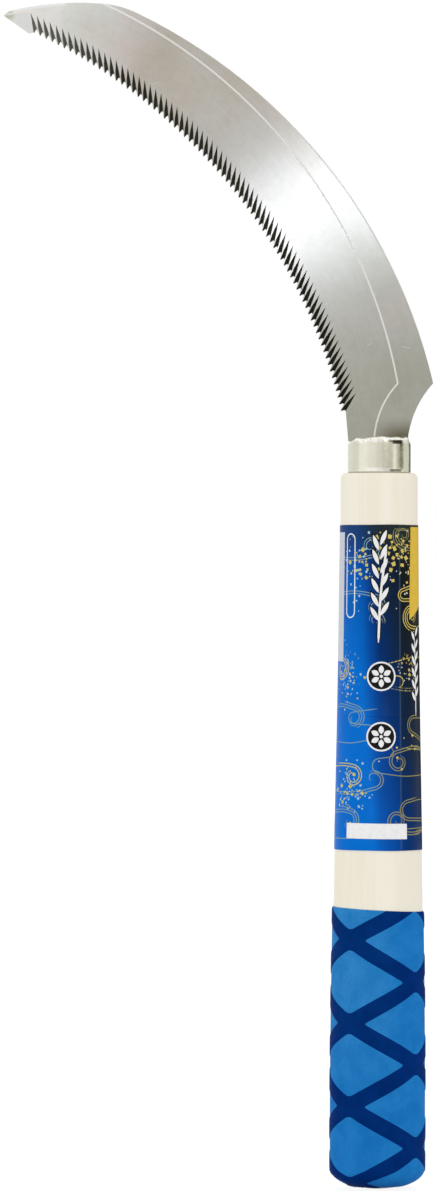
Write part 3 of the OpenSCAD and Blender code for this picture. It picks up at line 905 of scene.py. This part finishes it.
def wander(start, heading, moves, aside=0.0, step=0.6):
    """Points of a path, or one beside it, of arcs (degrees, radius) and straights (0, length)."""
    u, z = start
    points = []
    for sweep, size in moves:
        length = size if sweep == 0 else math.radians(abs(sweep)) * size
        count = max(2, round(length / step))
        for _ in range(count):
            a = math.radians(heading)
            points.append((u - aside * math.sin(a), z + aside * math.cos(a)))
            middle = math.radians(heading + sweep / count / 2)
            u, z = u + length / count * math.cos(middle), z + length / count * math.sin(middle)
            heading += sweep / count
    a = math.radians(heading)
    return points + [(u - aside * math.sin(a), z + aside * math.cos(a))]


# Running water in plain scrolls: start, heading, moves, number of lines side by side, whether in gold
CURL_RIGHT = [(-120, 2.4), (-150, 1.7), (-170, 1.0)]
CURL_LEFT = [(120, 2.4), (150, 1.7), (170, 1.0)]
STREAMS = [
    ((19, 193), 184, [(0, 6), (-20, 16), *CURL_RIGHT], 3, False),
    ((-19, 189.5), -4, [(0, 8), (14, 26), (0, 2), *CURL_LEFT], 2, False),
    ((19, 181), 176, [(0, 3), (20, 14), (0, 4), (165, 1.9), (0, 5), (-160, 1.5)], 2, True),
    ((-19, 177.5), 4, [(0, 9), (-16, 22), (0, 3), *CURL_RIGHT], 2, False),
    ((-19, 167), 3, [(0, 10), (-10, 30), (0, 2), (160, 2.4), (150, 1.4), (150, 0.8)], 2, False),
    ((19, 168.5), 182, [(0, 4), (-12, 18), *CURL_RIGHT], 3, True),
    ((-19, 158.5), -2, [(0, 5), (-150, 2.2), (-160, 1.5), (-150, 0.8)], 3, True),
    ((19, 159), 178, [(0, 6), (15, 16), (0, 6), (160, 1.8), (0, 3), (-170, 1.6)], 1, True),
    ((-19, 151), 0, [(0, 9), (12, 24), (0, 3), *CURL_LEFT], 1, False),
    ((19, 150.5), 184, [(0, 8), (-14, 20), (0, 3), (-160, 2.4), (-150, 1.5), (-140, 0.9)], 2, False),
    ((-19, 144), 5, [(0, 4), (-18, 14), (0, 3), (-165, 2.0), (-160, 1.1)], 3, False),
    ((19, 141), 180, [(0, 7), (160, 2.1), (0, 6), (-165, 1.8), (0, 9)], 2, False),
    ((-19, 134), -3, [(0, 8), (14, 20), (0, 5), (165, 2.0), (0, 7), (-168, 1.7), (0, 8)], 1, False),
    ((19, 131.5), 176, [(0, 5), (18, 18), (0, 3), *CURL_LEFT], 2, False),
    ((-19, 126.5), 2, [(0, 6), (-12, 24), *CURL_RIGHT], 2, True),
    ((19, 124), 182, [(0, 9), (-10, 30), (0, 5), (-165, 2.2), (0, 3), (160, 1.5)], 1, False),
    ((-19, 119), 0, [(0, 10), (16, 18), (0, 3), (165, 2.1), (150, 1.2)], 2, False),
    ((19, 116.5), 178, [(0, 3), (12, 20), (0, 3), (168, 2.3), (0, 8), (-170, 1.9), (0, 8)], 2, False),
    ((-19, 112.5), 4, [(0, 6), (-20, 12), (-150, 1.9), (-150, 1.1)], 3, False),
    ((19, 107.5), 184, [(0, 7), (-16, 18), (0, 2), *CURL_RIGHT], 2, False),
    ((-19, 105), 0, [(0, 7), (10, 30), (0, 12), (-8, 30), (0, 10)], 1, False),
]
# Distance between a stream's lines, and their width
LINE_GAP = 0.78
LINE_W = 0.27
# Scattered leaf gold and small pale specks: middle, spread, count and largest size
GOLD_LEAF = [
    ((6, 190), (8.5, 6.0), 110, 1.6),
    ((-6, 187), (5, 5), 40, 1.5),
    ((-11, 153), (4, 6), 22, 1.0),
    ((10, 158), (4, 4), 20, 1.1),
    ((-9, 119), (5.5, 6), 34, 1.25),
    ((8, 131), (4, 4), 10, 0.9),
]
SPECKS = [
    ((-6, 186), (9, 10), 60, 0.8),
    ((10, 186), (5, 9), 40, 0.7),
    ((-11, 154), (5, 9), 60, 0.8),
    ((-9, 120), (7, 8), 60, 0.8),
    ((9, 154), (5, 5), 18, 0.7),
]
# Stalks of grain. Stem: foot, heading, moves, width. Grains: lowest place, spacing, distance aside, half
# the rise from left to right, lean in degrees, its loss from pair to pair, tilt, length and width
STALKS = [
    (
        ((-0.4, 163.5), 88, [(0, 8), (-6, 120), (0, 8)], 0.7),
        ((-0.1, 170.0), 4.2, 0.25, 0.8, 32, 2, 1, 5.0, 1.35),
    ),
    (
        ((13.3, 141.5), 90, [(0, 12), (4, 160)], 0.45),
        ((13.2, 146.0), 3.6, 0.2, 0.7, 30, 0, 0, 3.4, 1.1),
    ),
]
# Width of the stalks' dark outline
OUTLINE_W = 0.35
# Rosettes: places, and radii of rim, ground and eye
ROSETTES = [(0.5, 153.5), (0.5, 135.5)]
RIM_R = 4.4
GROUND_R = 3.9
EYE_R = 0.5
# Bare panels, as outlines, and the frame, as its left, right, bottom and top
PLATE = [(-10.1, 105.1), (8.4, 104.9), (8.4, 109.5), (-10.1, 109.7)]
FRAME = (-11.7, -8.3, 171, 196)
FRAME_W = 0.34
COLUMN = [(-18.5, 158), (-13.2, 157.8), (-13.2, 196.5), (-18.5, 196.5)]
PENNANT_TOP = LABEL_TOP - 0.6
PENNANT = [(10.3, 170.4), (12.5, 171.6), (19.0, 175.5), (19.0, PENNANT_TOP), (11.1, PENNANT_TOP)]


def disc(u, z, r, count=24):
    """Outline of a circle."""
    turns = [2 * math.pi * k / count for k in range(count)]
    return [(u + r * math.cos(a), z + r * math.sin(a)) for a in turns]


def leaf(u, z, degrees, length, width, count=7):
    """Outline of a leaf or grain that starts at a point and leans by an angle."""
    a = math.radians(degrees)
    cosine, sine = math.cos(a), math.sin(a)
    side = []
    for k in range(1, count):
        side.append((length * k / count, width / 2 * math.sin(math.pi * k / count) ** 0.8))
    flat = [(0, 0)] + [(p, -q) for p, q in side] + [(length, 0)] + side[::-1]
    return [(u + p * cosine - q * sine, z + p * sine + q * cosine) for p, q in flat]


def scatter(ink_print, groups, pick, middle):
    """Small four-cornered flakes strewn about a few places, at any lean, none over another."""
    placed = []
    for (u, z), (wide, high), count, largest in groups:
        for _ in range(count):
            at_u = u + middle + pick.gauss(0, wide * 0.55)
            at_z = z + pick.gauss(0, high * 0.55)
            size = largest * pick.uniform(0.3, 1.0) ** 1.6 + 0.25
            lean = pick.uniform(0, 90)
            corners = [math.radians(lean + 90 * k + pick.uniform(-14, 14)) for k in range(4)]
            here = (at_u, at_z)
            free = all(math.dist(here, there) > (size + other) / 2 for there, other in placed)
            if free and LABEL_BOTTOM + 1.5 < at_z < LABEL_TOP - 1.5:
                placed.append((here, size))
                half = size / 2
                outline = [(at_u + half * math.cos(a), at_z + half * math.sin(a)) for a in corners]
                ink_print.shape(outline)


def pill(u0, u1, z0, z1, count=8):
    """An upright closed path with round ends."""
    r = (u1 - u0) / 2
    turns = [math.pi * k / count for k in range(count + 1)]
    top = [(u0 + r + r * math.cos(a), z1 - r + r * math.sin(a)) for a in turns]
    return top + [(u0 + r - r * math.cos(a), z0 + r - r * math.sin(a)) for a in turns]


def print_stalk(printed, grow, stem, grains):
    """A stem with six pairs of grains, or its outline, which is wider by `grow` on each side."""
    (u, z), heading, moves, width = stem
    printed.line(wander((u, z - grow), heading, moves), width + 2 * grow)
    (u, z), spacing, aside, rise, lean, loss, tilt, length, width = grains
    for k in range(6):
        for side in (-1, 1):
            foot = (u + aside * side, z + spacing * k + rise * (1 + side))
            degrees = 90 - side * (lean - loss * k) - tilt
            printed.shape(leaf(*foot, degrees, length + 2 * grow, width + 2 * grow))


def make_print():
    """The label's print in a layout of its own: scrolls, leaf gold, stalks, rosettes and bare panels."""
    half_round = math.pi * FILM_MEAN_R
    lines, gold, specks, dark, white = Print(0.02), Print(0.03), Print(0.028), Print(0.045), Print(0.06)
    pick = random.Random(11)
    for middle in (0.0, half_round):
        for start, heading, moves, count, in_gold in STREAMS:
            outside = -math.copysign(LINE_GAP, moves[-1][0])
            for k in range(count):
                path = wander((start[0] + middle, start[1]), heading, moves, outside * k)
                path = path[int(len(path) * 0.16 * k) : len(path) - int(len(path) * 0.09 * k)]
                path = [p for p in path if LABEL_BOTTOM + 1 < p[1] < LABEL_TOP - 1]
                (gold if in_gold else lines).line(path, LINE_W)
        scatter(specks, SPECKS, pick, middle)
        scatter(gold, GOLD_LEAF, pick, middle)
    for printed, grow in ((dark, OUTLINE_W), (white, 0.0)):
        for stem, grains in STALKS:
            print_stalk(printed, grow, stem, grains)
    rounds, petals = Print(0.075), Print(0.09)
    for u, z in ROSETTES:
        white.shape(disc(u, z, RIM_R))
        rounds.shape(disc(u, z, GROUND_R))
        petals.shape(disc(u, z, EYE_R, 12))
        for k in range(6):
            a = math.radians(60 * k + 30)
            petals.shape(leaf(u + 0.8 * math.cos(a), z + 0.8 * math.sin(a), 60 * k + 30, 2.5, 1.6))
    white.shape(PLATE)
    white.line(pill(*FRAME), FRAME_W, closed=True)
    panel, pennant = Print(0.045), Print(0.045)
    panel.shape(COLUMN)
    pennant.shape(PENNANT)
    lines.lay("print_water", LINE_INK)
    specks.lay("print_specks", SPECK_INK)
    gold.lay("print_gold", GOLD_INK)
    dark.lay("print_outline", BLACK_INK)
    white.lay("print_white", WHITE_INK)
    rounds.lay("print_rounds", BLACK_INK)
    petals.lay("print_petals", WHITE_INK)
    panel.lay("print_panel", PANEL_INK)
    pennant.lay("print_pennant", PENNANT_INK)


make_ferrule()
make_film()
make_grip()
make_print()


# The floor's distance under the butt in millimetres, its glow, and how much of that is seen
FLOOR_GAP = 0.4
FLOOR_GLOW = 1.12
GLOW_SHARE = 0.8


def glow_floor():
    """Pale floor: the camera and reflections see it nearly white, with the object's shadow."""
    net = Nodes(bpy.data.materials.new("floor_paper"))
    grain = net.node("ShaderNodeTexNoise", {"Scale": 60}).outputs["Fac"]
    tone = net.node("ShaderNodeMapRange", {"Value": grain, "To Min": 0.88, "To Max": 0.92}).outputs[0]
    paper = net.node("ShaderNodeBsdfDiffuse", {"Color": tone}).outputs[0]
    glow = net.node("ShaderNodeEmission", {"Strength": FLOOR_GLOW}).outputs[0]
    path = net.node("ShaderNodeLightPath").outputs
    seen = net.math("MAXIMUM", path["Is Camera Ray"], path["Is Glossy Ray"])
    share = net.times(seen, GLOW_SHARE)
    mixed = net.node("ShaderNodeMixShader", {0: share, 1: paper, 2: glow}).outputs[0]
    net.node("ShaderNodeOutputMaterial", {"Surface": mixed})
    return net.owner


def make_floor():
    """A wide flat floor under the sickle."""
    bm = bmesh.new()
    bmesh.ops.create_grid(bm, x_segments=1, y_segments=1, size=20)
    floor = show("floor", mesh_of(bm, "floor", glow_floor()))
    floor.location.z = -FLOOR_GAP * MM


# Strength of the soft light from all round
SOFT_LIGHT = 0.95


def make_world():
    """White to the camera and to reflections, and a plain soft light on everything else."""
    world = bpy.data.worlds.new("studio")
    bpy.context.scene.world = world
    net = Nodes(world)
    path = net.node("ShaderNodeLightPath").outputs
    seen = net.math("MAXIMUM", path["Is Camera Ray"], path["Is Glossy Ray"])
    seen = net.math("MAXIMUM", seen, path["Is Transmission Ray"])
    soft = net.node("ShaderNodeBackground", {"Color": (1, 1, 1), "Strength": SOFT_LIGHT}).outputs[0]
    white = net.node("ShaderNodeBackground", {"Color": (1, 1, 1), "Strength": 1.0}).outputs[0]
    mixed = net.node("ShaderNodeMixShader", {0: seen, 1: soft, 2: white}).outputs[0]
    net.node("ShaderNodeOutputWorld", {"Surface": mixed})


# The key lamp, in metres and watts. The bright fan on the blade is its highlight
LAMP_SPOT = (1.49, -3.53, 1.43)
LAMP_AIM = (-0.01, 0, 0.299)
LAMP_SIZE = 0.3
LAMP_WATTS = 20.0
# Studio cards: name, two angles from the front in degrees, distance and heights in metres, and colour
CARDS = [
    ("flag_front_left", (-45, -12), 0.8, (-0.2, 0.8), (0.92, 0.91, 0.90)),
    ("flag_middle", (-12, 8), 0.8, (-0.2, 0.8), (0.79, 0.78, 0.76)),
    ("flag_front", (8, 50), 0.8, (-0.2, 0.8), (0.60, 0.575, 0.53)),
    ("flag_near_side", (64, 78), 0.25, (0.19, 0.25), (0.50, 0.49, 0.41)),
    ("flag_side", (78, 96), 0.25, (0.19, 0.25), (0.15, 0.14, 0.09)),
    ("flag_right", (96, 138), 0.25, (0.17, 0.27), (0.75, 0.76, 0.70)),
    ("flag_left", (-112, -80), 0.25, (0.17, 0.27), (0.82, 0.83, 0.78)),
    ("flag_far_left", (-168, -112), 0.25, (0.17, 0.27), (0.86, 0.87, 0.86)),
    ("flag_back", (139, 178), 0.6, (-0.2, 1.0), (0.12, 0.11, 0.08)),
]


def make_lamp():
    """The key lamp, a square that the camera doesn't see and that lights nothing matte."""
    data = bpy.data.lights.new("key", "AREA")
    data.shape = "SQUARE"
    data.size = LAMP_SIZE
    data.energy = LAMP_WATTS
    lamp = show("key", data)
    lamp.location = LAMP_SPOT
    lamp.rotation_mode = "QUATERNION"
    lamp.rotation_quaternion = (Vector(LAMP_AIM) - Vector(LAMP_SPOT)).to_track_quat("-Z", "Y")
    lamp.visible_camera = lamp.visible_diffuse = False


def make_card(name, turns, reach, heights, shade):
    """An upright glowing card between two angles about the handle, seen by reflections only."""
    a, b = (Vector(on_round(math.radians(t), 0, 1)) * reach for t in turns)
    low, high = heights
    corners = [(a.x, a.y, low), (b.x, b.y, low), (b.x, b.y, high), (a.x, a.y, high)]
    mesh = bpy.data.meshes.new(name)
    mesh.from_pydata(corners, [], [(0, 1, 2, 3)])
    net = Nodes(bpy.data.materials.new(name))
    glow = net.node("ShaderNodeEmission", {"Color": shade}).outputs[0]
    net.node("ShaderNodeOutputMaterial", {"Surface": glow})
    mesh.materials.append(net.owner)
    card = show(name, mesh)
    for ray in ("camera", "diffuse", "shadow", "transmission", "volume_scatter"):
        setattr(card, "visible_" + ray, False)


make_floor()
make_world()
make_lamp()
for card in CARDS:
    make_card(*card)

bpy.context.scene.view_settings.view_transform = "Standard"
